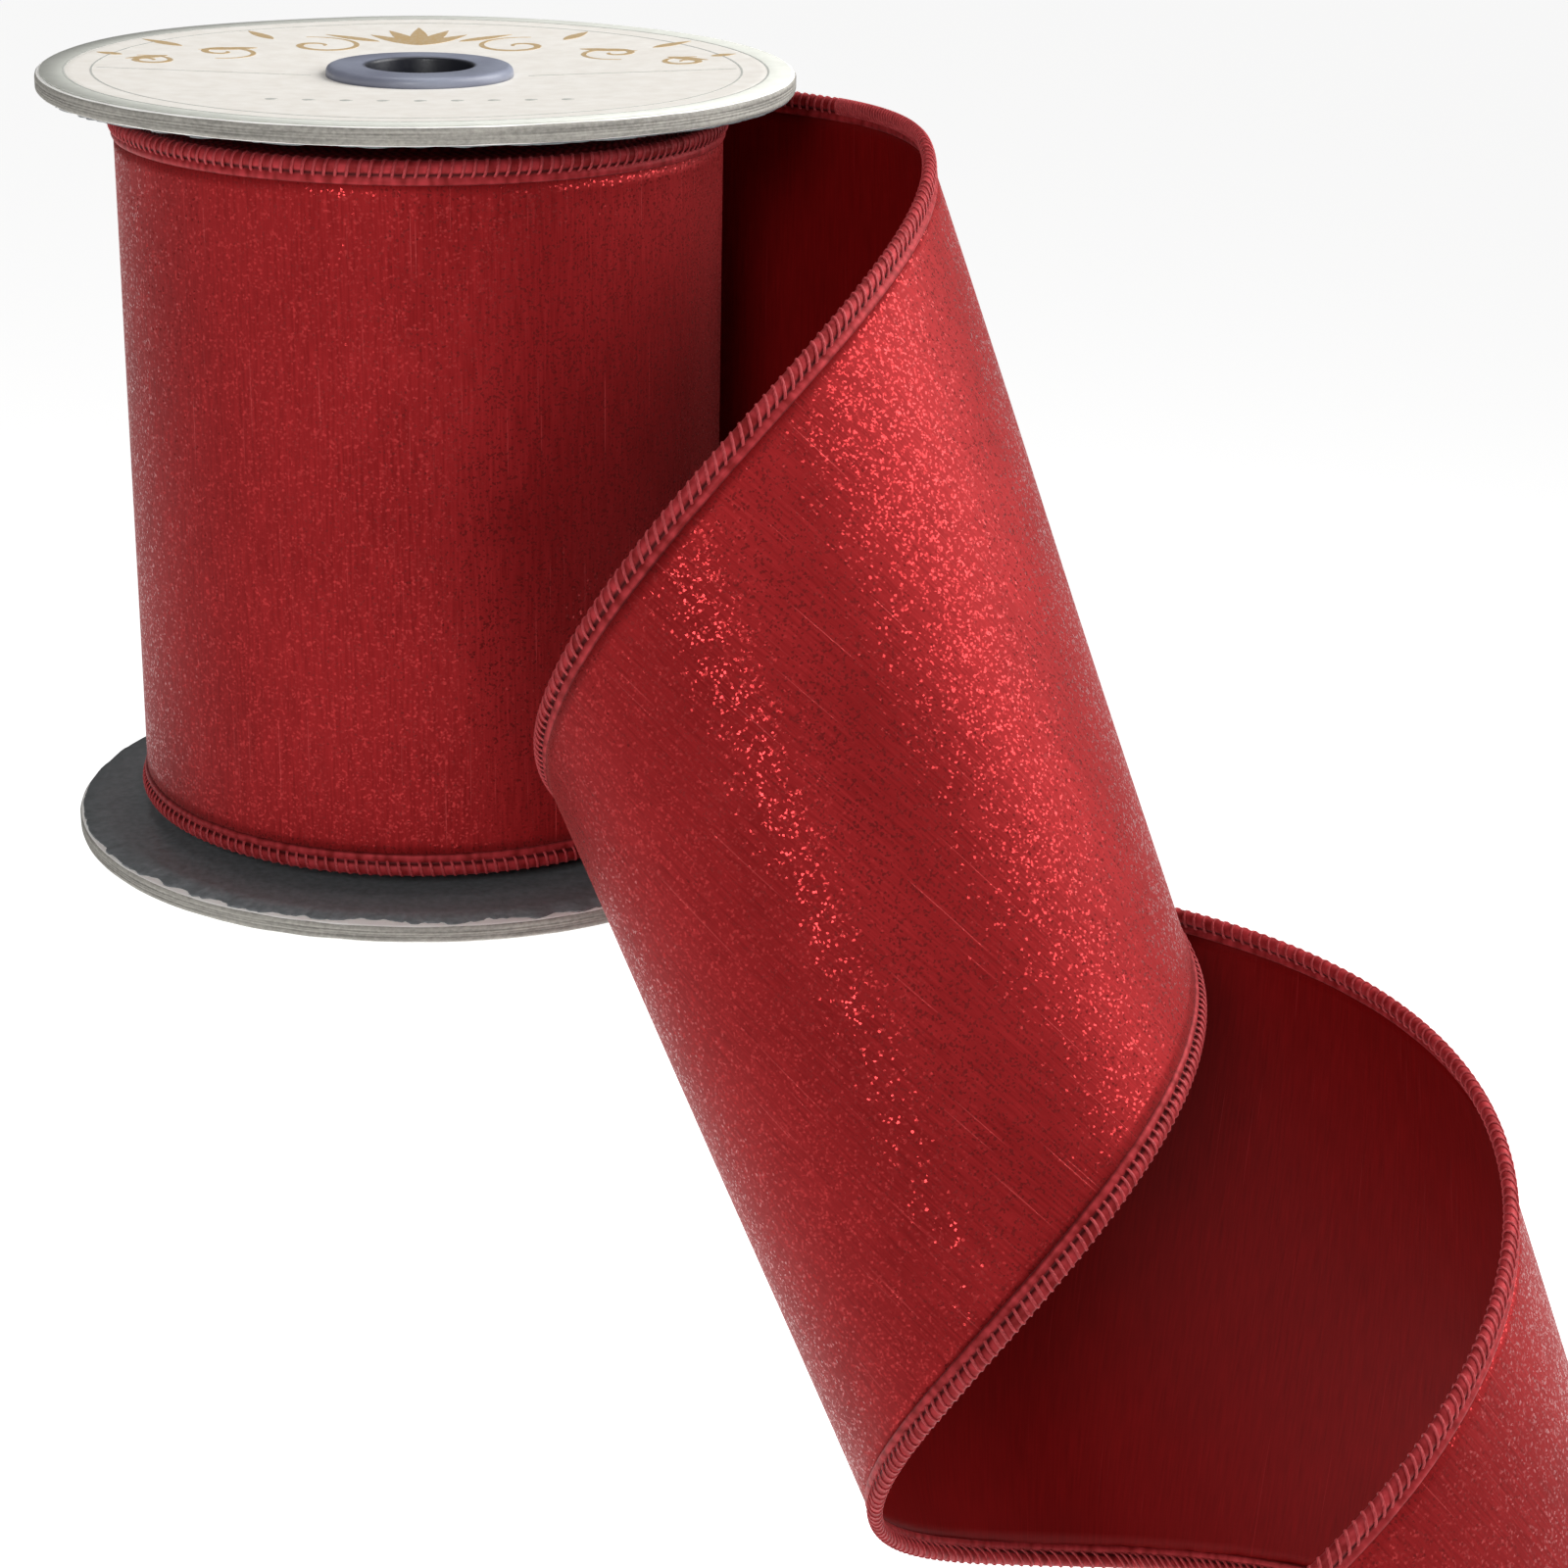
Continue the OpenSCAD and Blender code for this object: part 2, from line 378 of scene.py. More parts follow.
def weave_material(name, dark, light, glint, shine, sparkle):
    """Slubbed weave: fine weft threads across the ribbon, and small flecks that catch the light."""
    sh = Shader(name)
    flat = sh.flat()
    weft = sh.noise(flat, per_mm(0.35, 7.0, 1.0), 2.0)
    warp = sh.noise(flat, per_mm(2.4, 0.35, 1.0), 1.0)
    slub = sh.remap(sh.noise(flat, per_mm(0.35, 28.0, 1.0), 1.0), 0.70, 0.76)
    cloud = sh.noise(flat, per_mm(24.0, 40.0, 1.0), 2.0)
    tone = sh.math("ADD", sh.math("MULTIPLY", weft, 0.6), sh.math("MULTIPLY", cloud, 0.4))
    colour = sh.mix(sh.remap(tone, 0.34, 0.66), dark, light)
    colour = sh.mix(sh.math("MULTIPLY", slub, 0.3), colour, glint)
    cells = sh.add("TexVoronoi", {"Vector": sh.scaled(flat, per_mm(0.3, 0.3, 1.0)), "Scale": 1.0})
    random = cells.outputs["Color"]
    pick = sh.add("SeparateColor", {"Color": random}).outputs[0]
    fleck = sh.math("MULTIPLY", sh.remap(pick, 0.74, 0.84), sparkle)
    colour = sh.mix(sh.math("MULTIPLY", fleck, 0.14), colour, glint)
    sh.set(Base_Color=colour, Metallic=sh.remap(fleck, 0.0, 1.0, shine, 0.65))
    sh.set(Roughness=sh.remap(fleck, 0.0, 1.0, 0.58, 0.24), Specular_IOR_Level=0.1)
    sh.set(Sheen_Weight=0.1 * sparkle, Sheen_Roughness=0.45, Sheen_Tint=(1.0, 0.3, 0.28, 1.0))
    threads = sh.math("ADD", sh.math("MULTIPLY", weft, 0.6), sh.math("MULTIPLY", warp, 0.3))
    threads = sh.math("ADD", threads, sh.math("MULTIPLY", slub, 0.5))
    body = sh.bump(threads, 0.00008, 0.6)
    lean = sh.vector("SUBTRACT", random, (0.5, 0.5, 0.5))
    lean = sh.vector("SCALE", lean, scale=sh.math("MULTIPLY", fleck, 0.36))
    sh.set(Normal=sh.vector("NORMALIZE", sh.vector("ADD", body, lean)))
    return sh.material


def hem_material(name, dark, light):
    """Folded hem: gathers drawn up by the thread, and shade in the crease and between ridge and cord."""
    sh = Shader(name)
    flat = sh.flat()
    across = sh.add("SeparateXYZ", {"Vector": flat}).outputs[1]
    off_middle = sh.math("ABSOLUTE", sh.math("SUBTRACT", across, EDGE_V * MM))
    crease = sh.remap(off_middle, CREASE_V * MM, (CREASE_V + 0.3) * MM, 1.0, 0.0)
    from_valley = sh.math("ABSOLUTE", sh.math("SUBTRACT", off_middle, (CREASE_V + VALLEY) * MM))
    valley = sh.remap(from_valley, 0.1 * MM, 0.4 * MM, 1.0, 0.0)
    weft = sh.noise(flat, per_mm(0.5, 2.0, 1.0), 2.0)
    gather = sh.noise(flat, per_mm(1.4, 3.0, 1.0), 1.0)
    colour = sh.mix(sh.remap(gather, 0.35, 0.65), dark, light)
    shade = sh.math("MULTIPLY", sh.math("MAXIMUM", crease, valley), 0.85)
    sh.set(Base_Color=sh.mix(shade, colour, (0.045, 0.0012, 0.0016, 1)))
    sh.set(Roughness=0.55, Metallic=0.25, Specular_IOR_Level=0.2)
    sh.set(Sheen_Weight=0.12, Sheen_Tint=(1.0, 0.3, 0.3, 1.0))
    height = sh.math("ADD", sh.math("MULTIPLY", weft, 0.4), gather)
    sh.set(Normal=sh.bump(height, 0.00015, 0.7))
    return sh.material


def thread_material():
    sh = Shader("overlock_thread")
    flat = sh.flat()
    strand = sh.noise(flat, per_mm(0.25, 0.25, 1.0), 1.0)
    sh.set(Base_Color=sh.mix(sh.remap(strand, 0.3, 0.7), (0.26, 0.016, 0.020, 1), (0.50, 0.060, 0.066, 1)))
    sh.set(Roughness=0.5, Specular_IOR_Level=0.25, Sheen_Weight=0.12, Sheen_Tint=(1.0, 0.3, 0.3, 1.0))
    sh.set(Normal=sh.bump(strand, 0.00006, 0.7))
    return sh.material


def radius_of(sh, at):
    """Distance from the spool's axis."""
    parts = sh.add("SeparateXYZ", {"Vector": at})
    squares = [sh.math("MULTIPLY", parts.outputs[i], parts.outputs[i]) for i in (0, 1)]
    return sh.math("SQRT", sh.math("ADD", *squares))


def board_material():
    sh = Shader("grey_board")
    at = sh.place()
    pulp = sh.noise(at, per_mm(0.7, 0.7, 0.5), 3.0, 0.6)
    plies = sh.noise(at, per_mm(14.0, 14.0, 0.45), 1.0)
    tone = sh.math("ADD", sh.math("MULTIPLY", pulp, 0.5), sh.math("MULTIPLY", plies, 0.5))
    colour = sh.mix(sh.remap(tone, 0.35, 0.65), (0.20, 0.19, 0.17, 1), (0.40, 0.38, 0.34, 1))
    fuzz = sh.remap(sh.math("ADD", radius_of(sh, at), sh.math("MULTIPLY", pulp, 0.0012)), 0.0508, 0.0514)
    face = sh.math("LESS_THAN", radius_of(sh, at), 0.0538)
    colour = sh.mix(sh.math("MULTIPLY", fuzz, face), colour, (0.90, 0.89, 0.86, 1))
    sh.set(Base_Color=colour, Roughness=0.85)
    sh.set(Normal=sh.bump(tone, 0.0002, 0.7))
    return sh.material


def label_material():
    sh = Shader("label_paper")
    at = sh.place()
    fibre = sh.noise(at, per_mm(3.0, 3.0, 3.0), 4.0, 0.6)
    margin = sh.remap(radius_of(sh, at), 0.0497, 0.0501)
    paper = sh.mix(sh.remap(fibre, 0.3, 0.7), (0.78, 0.74, 0.68, 1), (0.86, 0.83, 0.78, 1))
    rim = sh.mix(sh.remap(fibre, 0.3, 0.7), (0.66, 0.67, 0.61, 1), (0.74, 0.75, 0.69, 1))
    sh.set(Base_Color=sh.mix(margin, paper, rim), Roughness=0.5)
    sh.set(Normal=sh.bump(fibre, 0.00005, 0.4))
    return sh.material


def print_material(name, colour, metallic, roughness):
    sh = Shader(name)
    at = sh.place()
    speck = sh.noise(at, per_mm(0.5, 0.5, 0.5), 2.0)
    worn = tuple(0.6 * c + 0.4 * p for c, p in zip(colour, (0.8, 0.76, 0.7))) + (1,)
    sh.set(Base_Color=sh.mix(sh.remap(speck, 0.45, 0.7), colour + (1,), worn))
    sh.set(Metallic=metallic, Roughness=roughness)
    return sh.material


def lining_material():
    sh = Shader("lining_paper")
    at = sh.place()
    grain = sh.noise(at, per_mm(0.9, 0.9, 0.9), 3.0)
    scuff = sh.remap(sh.noise(at, per_mm(1.2, 14.0, 5.0), 3.0), 0.62, 0.74)
    colour = sh.mix(sh.remap(grain, 0.3, 0.7), (0.12, 0.13, 0.135, 1), (0.19, 0.20, 0.21, 1))
    sh.set(Base_Color=sh.mix(sh.math("MULTIPLY", scuff, 0.3), colour, (0.20, 0.21, 0.22, 1)))
    sh.set(Roughness=sh.remap(grain, 0.3, 0.7, 0.32, 0.45))
    sh.set(Normal=sh.bump(grain, 0.00006, 0.5))
    return sh.material


def plastic_material():
    sh = Shader("hub_plastic")
    at = sh.place()
    mould = sh.noise(at, per_mm(0.8, 0.8, 0.8), 3.0)
    swirl = sh.noise(at, per_mm(9.0, 9.0, 9.0), 2.0)
    outside = sh.mix(sh.remap(swirl, 0.3, 0.7), (0.17, 0.18, 0.24, 1), (0.25, 0.27, 0.34, 1))
    # Painted shade: the plastic turns near black inside the bore, where the deep hole lies in shade.
    painted_bore_shade = sh.remap(radius_of(sh, at), 0.0077, 0.0083)
    sh.set(Base_Color=sh.mix(painted_bore_shade, (0.012, 0.013, 0.020, 1), outside))
    sh.set(Roughness=sh.remap(mould, 0.3, 0.7, 0.34, 0.48))
    sh.set(Normal=sh.bump(mould, 0.00004, 0.4))
    return sh.material


def card_material():
    sh = Shader("core_card")
    at = sh.place()
    pulp = sh.noise(at, per_mm(0.8, 0.8, 2.0), 3.0)
    sh.set(Base_Color=sh.mix(sh.remap(pulp, 0.3, 0.7), (0.38, 0.29, 0.19, 1), (0.55, 0.44, 0.31, 1)))
    sh.set(Roughness=0.9, Normal=sh.bump(pulp, 0.0001, 0.6))
    return sh.material


def tape_material():
    sh = Shader("clear_tape")
    at = sh.place()
    ripple = sh.noise(at, per_mm(6.0, 6.0, 2.0), 2.0)
    sh.set(Base_Color=sh.mix(sh.remap(ripple, 0.3, 0.7), (0.72, 0.64, 0.42, 1), (0.82, 0.76, 0.56, 1)))
    sh.set(Roughness=0.25, Normal=sh.bump(ripple, 0.0002, 0.4))
    return sh.material


def wire_material():
    sh = Shader("hem_wire")
    at = sh.place()
    drawn = sh.noise(at, per_mm(0.3, 0.3, 0.3), 2.0)
    sh.set(Base_Color=sh.mix(sh.remap(drawn, 0.3, 0.7), (0.45, 0.45, 0.46, 1), (0.62, 0.62, 0.63, 1)))
    sh.set(Metallic=1.0, Roughness=0.35)
    return sh.material


def floor_material():
    sh = Shader("studio_floor")
    at = sh.place()
    tone = sh.noise(at, per_mm(900.0, 900.0, 900.0), 1.0)
    sh.set(Base_Color=sh.mix(tone, (0.9, 0.9, 0.9, 1), (0.92, 0.92, 0.92, 1)), Roughness=0.9)
    sh.set(Emission_Color=(1.0, 1.0, 1.0, 1.0), Emission_Strength=0.84)
    return sh.material


FACE_DARK = (0.20, 0.006, 0.007, 1)
FACE_LIGHT = (0.33, 0.015, 0.017, 1)
FACE_GLINT = (0.78, 0.10, 0.10, 1)
BACK_DARK = (0.13, 0.0012, 0.0014, 1)
BACK_LIGHT = (0.19, 0.0026, 0.003, 1)
FACE = weave_material("ribbon_face", FACE_DARK, FACE_LIGHT, FACE_GLINT, 0.45, 1.0)
BACK = weave_material("ribbon_back", BACK_DARK, BACK_LIGHT, FACE_LIGHT, 0.05, 0.0)
HEM = hem_material("ribbon_hem", FACE_DARK, (0.40, 0.030, 0.036, 1))
THREAD = thread_material()


# ---------------------------------------------------------------- ribbon pieces


def spaced(start, stop, step):
    """Even distances from start to stop, close to step apart."""
    count = max(1, round((stop - start) / step))
    return np.linspace(start, stop, count + 1)


def cloth_waves(distances, v):
    """How far the loose cloth stands off its straight course: slow buckles, and puckers by the hems."""
    waves = np.zeros((len(distances), len(v)))
    for i, s in enumerate(distances):
        free = min(1.0, max(0.0, s / 60.0))
        for j, w in enumerate(v):
            by_hem = math.exp(-(CREASE_V - abs(w)) / 5.0)
            slow = 0.16 * wobble(s / 17.0, w / 90.0) + 0.5 * free * wobble(s / 55.0, w / 60.0, 4.0)
            waves[i, j] = slow + 0.14 * by_hem * wobble(s / 2.6, math.copysign(7.0, w))
    return waves


def make_loose_ribbon():
    """The cloth of the outer wrap and the tail: one strip with a face side and a back side."""
    distances = spaced(-COURSE.wrap_l, TAIL_L, 2.0)
    v = np.linspace(CREASE_V + 0.3, -CREASE_V - 0.3, 50)
    waves = cloth_waves(distances, v)
    face, face_flat = ribbon_surface(distances, v, waves + FABRIC_T / 2)
    back, back_flat = ribbon_surface(distances, v[::-1], waves[:, ::-1] - FABRIC_T / 2)
    points = np.concatenate([face, back], 1)
    flat = np.concatenate([face_flat, back_flat], 1)
    across = points.shape[1]
    faces = tube_faces(len(distances), across)
    piece = new_mesh("loose_ribbon", points.reshape(-1, 3), faces, flat.reshape(-1, 2))
    piece.data.materials.append(FACE)
    piece.data.materials.append(BACK)
    for index, polygon in enumerate(piece.data.polygons):
        on_face = index % across < across // 2
        polygon.material_index = 0 if on_face else 1
    return piece


def hem_outline():
    """Closed (v, h) outline of the upper hem: a turned-in ridge, a valley and a rolled cord."""
    ridge = [(0.0, 0.05), (0.15, 0.4), (0.45, 0.56), (0.85, 0.56), (1.15, 0.4), (VALLEY, 0.24)]
    points = [(CREASE_V + v, h) for v, h in ridge]
    for i in range(13):
        a = math.radians(150 - 25 * i)
        points.append((CORD_V + CORD_HALF_W * math.cos(a), CORD_HALF_T * math.sin(a)))
    points += [(v, -h) for v, h in reversed(points[:len(ridge)])]
    return np.array(points)


def make_hem(name, side):
    distances = spaced(-COURSE.wrap_l, TAIL_L, 1.5)
    outline = hem_outline()
    if side < 0:
        outline = outline[::-1] * (-1, 1)
    swell = np.array([1 + 0.08 * wobble(s / 3.0, 3.0 * side) for s in distances])
    h = outline[None, :, 1] * swell[:, None]
    points, flat = ribbon_surface(distances, outline[:, 0], h)
    faces = tube_faces(len(distances), len(outline))
    piece = new_mesh(name, points.reshape(-1, 3), faces, flat.reshape(-1, 2))
    piece.data.materials.append(HEM)
    return piece


def make_stitching(name, side):
    """Overlock thread: one long loop after another round the rolled edge of a hem."""
    steps, sides = 12, 5
    loops = int((COURSE.wrap_l + TAIL_L - 2.0) / STITCH_PITCH)
    turns = np.arange(loops * steps + 1) / steps
    distances = -COURSE.wrap_l + 1.0 + turns * STITCH_PITCH
    angle = 2 * math.pi * turns
    v = side * (LOOP_V + LOOP_HALF_W * np.cos(angle))
    h = LOOP_HALF_T * np.sin(angle)
    place, forward, down, outward, lean = COURSE.stations(distances)
    line = down + lean[:, None] * forward
    centre = place - v[:, None] * line + h[:, None] * outward
    ahead = np.gradient(centre, axis=0)
    ahead /= np.linalg.norm(ahead, axis=1)[:, None]
    rim = centre - (place - side * LOOP_V * line)
    up = rim - (rim * ahead).sum(1)[:, None] * ahead
    up /= np.linalg.norm(up, axis=1)[:, None]
    beside = np.cross(ahead, up)
    points, flat = [], []
    for k in range(sides):
        a = 2 * math.pi * k / sides
        points.append(centre + THREAD_HALF_T * math.cos(a) * up + THREAD_HALF_W * math.sin(a) * beside)
        flat.append(np.stack([distances, v + 0.3 * k], 1))
    points, flat = np.stack(points, 1), np.stack(flat, 1)
    piece = new_mesh(name, points.reshape(-1, 3), tube_faces(len(distances), sides), flat.reshape(-1, 2))
    piece.data.materials.append(THREAD)
    return piece


def make_roll():
    """The wound turns as one spiral strip with thickened hems."""
    outline = np.array([
        (EDGE_V, 0.0), (EDGE_V - 0.4, -0.24), (EDGE_V - 2.4, -0.26), (CREASE_V, -0.13),
        (-CREASE_V, -0.13), (-EDGE_V + 2.4, -0.26), (-EDGE_V + 0.4, -0.24),
        (-EDGE_V, 0.0), (-EDGE_V + 0.4, 0.24), (-EDGE_V + 2.4, 0.26), (-CREASE_V, 0.13),
        (CREASE_V, 0.13), (EDGE_V - 2.4, 0.26), (EDGE_V - 0.4, 0.24),
    ])
    count = ROLL_TURNS * TURN_STEPS + 1
    pitch = (ROLL_OUTER_R - ROLL_INNER_R) / ROLL_TURNS
    start = math.radians(90 - LEAVE_ANGLE + WRAP_ANGLE) + 2 * math.pi * ROLL_TURNS
    points, flat, along = [], [], 0.0
    for i in range(count):
        turn = i / TURN_STEPS
        a = start - 2 * math.pi * turn
        r = ROLL_INNER_R + pitch * turn
        shift = 0.5 * wobble(turn / 1.7, 11.0) + 0.12 * wobble(turn * 9.0, 5.0)
        for v, h in outline:
            radius = r + h
            points.append((radius * math.cos(a), radius * math.sin(a), ROLL_MID_Z + v + shift))
            flat.append((along, v + EDGE_V))
        along += 2 * math.pi * r / TURN_STEPS
    piece = new_mesh("wound_ribbon", points, tube_faces(count, len(outline)), flat)
    piece.data.materials.append(ROLLED)
    return piece, along


def rolled_material():
    """Cloth of the wound turns, with stitched hems drawn along both edges."""
    sh = Shader("ribbon_wound")
    flat = sh.flat()
    parts = sh.add("SeparateXYZ", {"Vector": flat})
    off_middle = sh.math("ABSOLUTE", sh.math("SUBTRACT", parts.outputs[1], EDGE_V * MM))
    hem = sh.remap(off_middle, CREASE_V * MM, (CREASE_V + 0.3) * MM)
    slant = sh.math("ADD", parts.outputs[0], sh.math("MULTIPLY", off_middle, 0.5))
    stitch = sh.math("SINE", sh.math("MULTIPLY", slant, 2000 * math.pi / STITCH_PITCH))
    weft = sh.noise(flat, per_mm(0.42, 9.0, 1.0), 2.0)
    cloth = sh.mix(sh.remap(weft, 0.35, 0.65), (0.17, 0.004, 0.006, 1), (0.30, 0.012, 0.015, 1))
    edge = sh.mix(sh.remap(stitch, -1.0, 1.0), (0.15, 0.004, 0.006, 1), (0.36, 0.02, 0.025, 1))
    sh.set(Base_Color=sh.mix(hem, cloth, edge), Roughness=0.55, Metallic=0.15)
    sh.set(Specular_IOR_Level=0.2, Sheen_Weight=0.08, Sheen_Tint=(1.0, 0.25, 0.25, 1.0))
    ribs = sh.math("MULTIPLY", sh.math("MULTIPLY", stitch, hem), 0.6)
    height = sh.math("ADD", sh.math("MULTIPLY", weft, 0.3), ribs)
    sh.set(Normal=sh.bump(height, 0.00025, 0.8))
    return sh.material


ROLLED = rolled_material()


# ---------------------------------------------------------------- spool pieces


def dish_at(r):
    return DISH if r <= LIP_R else DISH * (FLANGE_R - r) / (FLANGE_R - LIP_R)


def flange_warp(seed):
    """Card discs are never quite flat or round: a slow warp and a slightly ragged rim."""

    def shape(a, r, z):
        share = (r / FLANGE_R) ** 2
        lift = 0.28 * share * wobble(1.3 * math.cos(a), 1.3 * math.sin(a), seed)
        ragged = 0.10 * share * wobble(9 * math.cos(a), 9 * math.sin(a), seed + 5)
        return r + ragged, z + lift

    return shape


def upside_down(profile):
    return [(r, SPOOL_H - z) for r, z in reversed(profile)]


def ring_profile(inner, outer, z0, z1, round_r=0.0, plies=0):
    """Closed profile of one flange layer, with a rounded rim and the grooves between its plies."""
    low = [(inner, DISH + z0), (LIP_R, DISH + z0)]
    high = [(LIP_R, DISH + z1), (inner, DISH + z1)]
    radii = np.linspace(LIP_R, outer - round_r, 10)[1:]
    low += [(r, dish_at(r) + z0) for r in radii]
    high = [(r, dish_at(r) + z1) for r in reversed(radii)] + high
    rim = []
    if round_r:
        for a in (-60, -30):
            c, s = math.cos(math.radians(a)), math.sin(math.radians(a))
            rim.append((outer - round_r + round_r * c, dish_at(outer) + z0 + round_r + round_r * s))
        span = z1 - z0 - 2 * round_r
        for k in range(plies):
            base = dish_at(outer) + z0 + round_r + span * k / plies
            step = span / plies
            rim += [(outer, base + 0.12 * step), (outer, base + 0.88 * step), (outer - 0.07, base + step)]
        rim = rim[:-1]
        for a in (30, 60):
            c, s = math.cos(math.radians(a)), math.sin(math.radians(a))
            rim.append((outer - round_r + round_r * c, dish_at(outer) + z1 - round_r + round_r * s))
    return low + rim + high


def make_flange(end, seed):
    """Board, label and lining of one flange; end is "lower" or "upper"."""
    flip = upside_down if end == "upper" else list
    warp = flange_warp(seed)
    board_profile = ring_profile(HUB_HOLE_R, FLANGE_R, PAPER_T, PAPER_T + BOARD_T, 0.5, 4)
    board = lathe(end + "_board", flip(board_profile), 288, warp)
    board.data.materials.append(BOARD)
    label = lathe(end + "_label", flip(ring_profile(HUB_HOLE_R, FLANGE_R - 0.7, 0.0, PAPER_T)), 288, warp)
    label.data.materials.append(LABEL)

    def chafed(a, r, z):
        if r > FLANGE_R - 1.5:
            bite = max(0.0, wobble(12 * math.cos(a), 12 * math.sin(a), seed + 2) + 0.3)
            nick = max(0.0, wobble(40 * math.cos(a), 40 * math.sin(a), seed + 8))
            front = 0.1 + 0.9 * max(0.0, -math.sin(a + 0.25)) ** 2
            r -= (2.3 * bite + 1.2 * nick) * front
        return warp(a, r, z)

    lining_profile = ring_profile(HUB_HOLE_R, FLANGE_R - 0.4, PAPER_T + BOARD_T, FLANGE_T)
    lining = lathe(end + "_lining", flip(lining_profile), 720, chafed)
    lining.data.materials.append(LINING)
    layers = [(board, "board", "grey_board"), (label, "label", "label_paper")]
    layers.append((lining, "lining", "lining_paper"))
    for piece, node, slot in layers:
        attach(piece, "spool")
        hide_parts(end + "_flange_" + node)


BOARD = board_material()
LABEL = label_material()
LINING = lining_material()
PLASTIC = plastic_material()


def label_height(x, y):
    """Height of the upper label's outer face at a place on it."""
    a, r = math.atan2(y, x), math.hypot(x, y)
    _, z = flange_warp(UPPER_SEED)(a, r, SPOOL_H - dish_at(r))
    return z


def stroke(points, widths):
    """Left and right edges of a line of print along points."""
    points = np.array(points, float)
    ahead = np.gradient(points, axis=0)
    ahead /= np.linalg.norm(ahead, axis=1)[:, None] + 1e-9
    beside = np.stack([-ahead[:, 1], ahead[:, 0]], 1)
    half = np.asarray(widths, float)[:, None] / 2
    return points + beside * half, points - beside * half


def print_piece(name, strokes, material):
    """Lines of print as a thin film of ink, half sunk in the label."""
    points, faces = [], []
    for left, right in strokes:
        base = len(points)
        for one, other in zip(left, right):
            for (x, y), lift in ((one, INK), (other, INK), (other, -INK), (one, -INK)):
                points.append((x, y, label_height(x, y) + lift))
        faces += [tuple(base + i for i in face) for face in tube_faces(len(left), 4)]
    piece = new_mesh(name, points, faces, smooth=False)
    piece.data.materials.append(material)
    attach(piece, "spool")


def arc(radius, start, stop, steps=160, centre=(0.0, 0.0)):
    angles = np.radians(np.linspace(start, stop, steps))
    return np.stack([centre[0] + radius * np.cos(angles), centre[1] + radius * np.sin(angles)], 1)


def scroll(centre, start, turns, r0, r1, hand):
    """A spiral scroll that opens from radius r0 to r1 round a centre."""
    t = np.linspace(0, 1, 60)
    angles = math.radians(start) + hand * 2 * math.pi * turns * t
    radius = r0 + (r1 - r0) * t ** 1.4
    return np.stack([centre[0] + radius * np.cos(angles), centre[1] + radius * np.sin(angles)], 1)


def leaf(base, angle, length, width):
    t = np.linspace(0, 1, 16)
    a = math.radians(angle)
    line = np.stack([base[0] + length * t * math.cos(a), base[1] + length * t * math.sin(a)], 1)
    return stroke(line, 0.15 + width * np.sin(math.pi * t ** 0.8))


def ornament():
    """A plain symmetric sprig of scrolls and leaves on the label's far half."""
    scrolls = [((15.0, 26.0), -160, -1, 7.5), ((29.0, 17.5), 150, 1, 6.0), ((39.0, 8.0), -170, -1, 4.2)]
    leaves = [((6.0, 30.0), 35, 10), ((22.0, 30.5), 60, 8), ((24.0, 22.0), -20, 9)]
    leaves += [((35.0, 21.5), 40, 8), ((36.5, 12.5), -35, 7), ((43.0, 12.0), 20, 4)]
    half = []
    for centre, start, hand, size in scrolls:
        line = scroll(centre, start, 1.35, 0.8, size, hand)
        half.append(stroke(line, 0.35 + 0.75 * np.sin(np.linspace(0, math.pi, 60))))
    for base, angle, length in leaves:
        half.append(leaf(base, angle, length, 1.9))
    mirrored = [(right * (-1, 1), left * (-1, 1)) for left, right in half]
    crown = []
    for angle in (50, 70, 90, 110, 130):
        length = 15.0 - abs(angle - 90) * 0.09
        crown.append(leaf((0.0, 27.0), angle, length, 2.6))
    return half + mirrored + crown


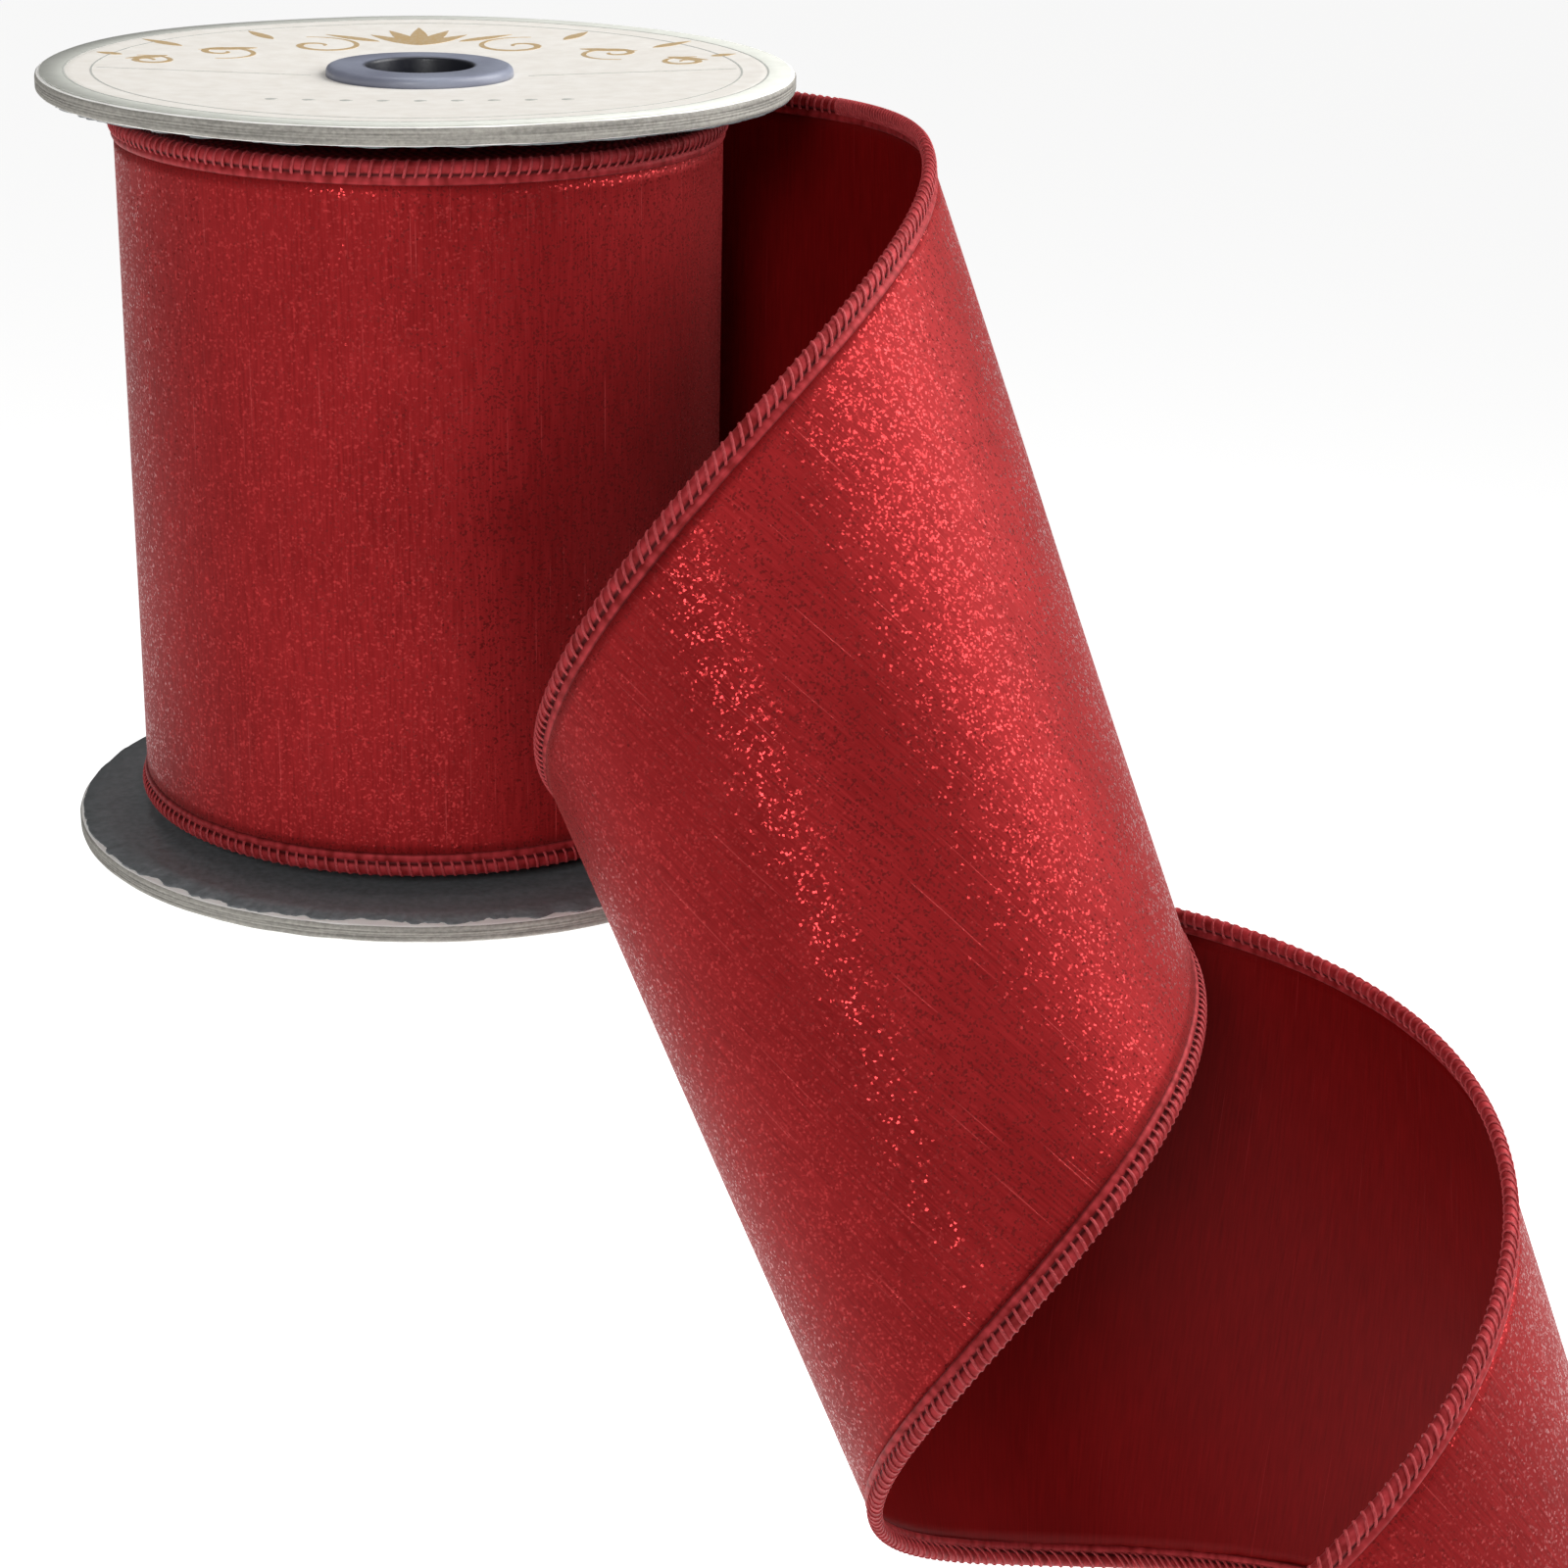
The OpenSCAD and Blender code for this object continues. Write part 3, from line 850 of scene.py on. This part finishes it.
def make_prints():
    gold = print_material("print_gold", (0.72, 0.50, 0.24), 0.35, 0.38)
    grey = print_material("print_grey", (0.42, 0.43, 0.40), 0.0, 0.6)
    print_piece("label_ornament", ornament(), gold)
    lines = [stroke(arc(radius, 0, 360, 240), [0.28] * 240) for radius in (46.2, 50.0)]
    for side in (1, -1):
        xs = np.linspace(15.5, 45.5, 30) * side
        lines.append(stroke(np.stack([xs, 0 * xs - 1.0], 1), [0.25] * 30))
    for k in range(-4, 5):
        lines.append(leaf((k * 5.0 - 0.9, -27.0), 0, 1.8, 1.5))
    print_piece("label_lines", lines, grey)


def make_hub(end):
    flip = upside_down if end == "upper" else list
    fillet, small = 0.9, 0.45
    barrel_r, barrel_l = HUB_HOLE_R - 0.2, 24.0
    profile = [(BORE_R, small + 0.01)]
    for a in (30, 60, 90):
        c, s = math.cos(math.radians(a)), math.sin(math.radians(a))
        profile.append((BORE_R + small * (1 - c), small - small * s))
    profile.append((LIP_R - 2.2, 0.0))
    for a in range(90, -1, -15):
        c, s = math.cos(math.radians(a)), math.sin(math.radians(a))
        profile.append((LIP_R - fillet + fillet * c, fillet - fillet * s))
    profile += [(LIP_R, DISH), (barrel_r, DISH), (barrel_r, DISH + barrel_l - 1.0)]
    profile += [(barrel_r - 0.5, DISH + barrel_l), (BORE_R, DISH + barrel_l)]
    piece = lathe(end + "_hub", flip(profile), 160)
    piece.data.materials.append(PLASTIC)
    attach(piece, "spool")
    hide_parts(end + "_hub_plug")


def dress_cad_nodes():
    """Hidden pieces keep their CAD shape and get their own finish."""
    for node, material in (("core_tube", card_material()), ("core_tape", tape_material()),
                           ("upper_wire", wire_material()), ("lower_wire", wire_material())):
        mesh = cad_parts[node].data
        mesh.materials.clear()
        mesh.materials.append(material)


def make_ribbon_pieces():
    cloth = make_loose_ribbon()
    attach(cloth, "ribbon_tail")
    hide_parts("outer_wrap", "tail_fabric")
    extras = [cloth]
    for name, side in (("upper", 1), ("lower", -1)):
        hem = make_hem(name + "_hem_fold", side)
        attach(hem, "ribbon_tail")
        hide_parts(name + "_hem")
        thread = make_stitching(name + "_overlock", side)
        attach(thread, "ribbon_tail")
        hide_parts(name + "_stitching")
        extras += [hem, thread]
    roll, length = make_roll()
    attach(roll, "spool")
    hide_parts("ribbon_roll", "roll_upper_hem", "roll_lower_hem")


make_camera()
make_studio()
make_ribbon_pieces()
make_flange("lower", LOWER_SEED)
make_flange("upper", UPPER_SEED)
make_prints()
make_hub("lower")
make_hub("upper")
dress_cad_nodes()
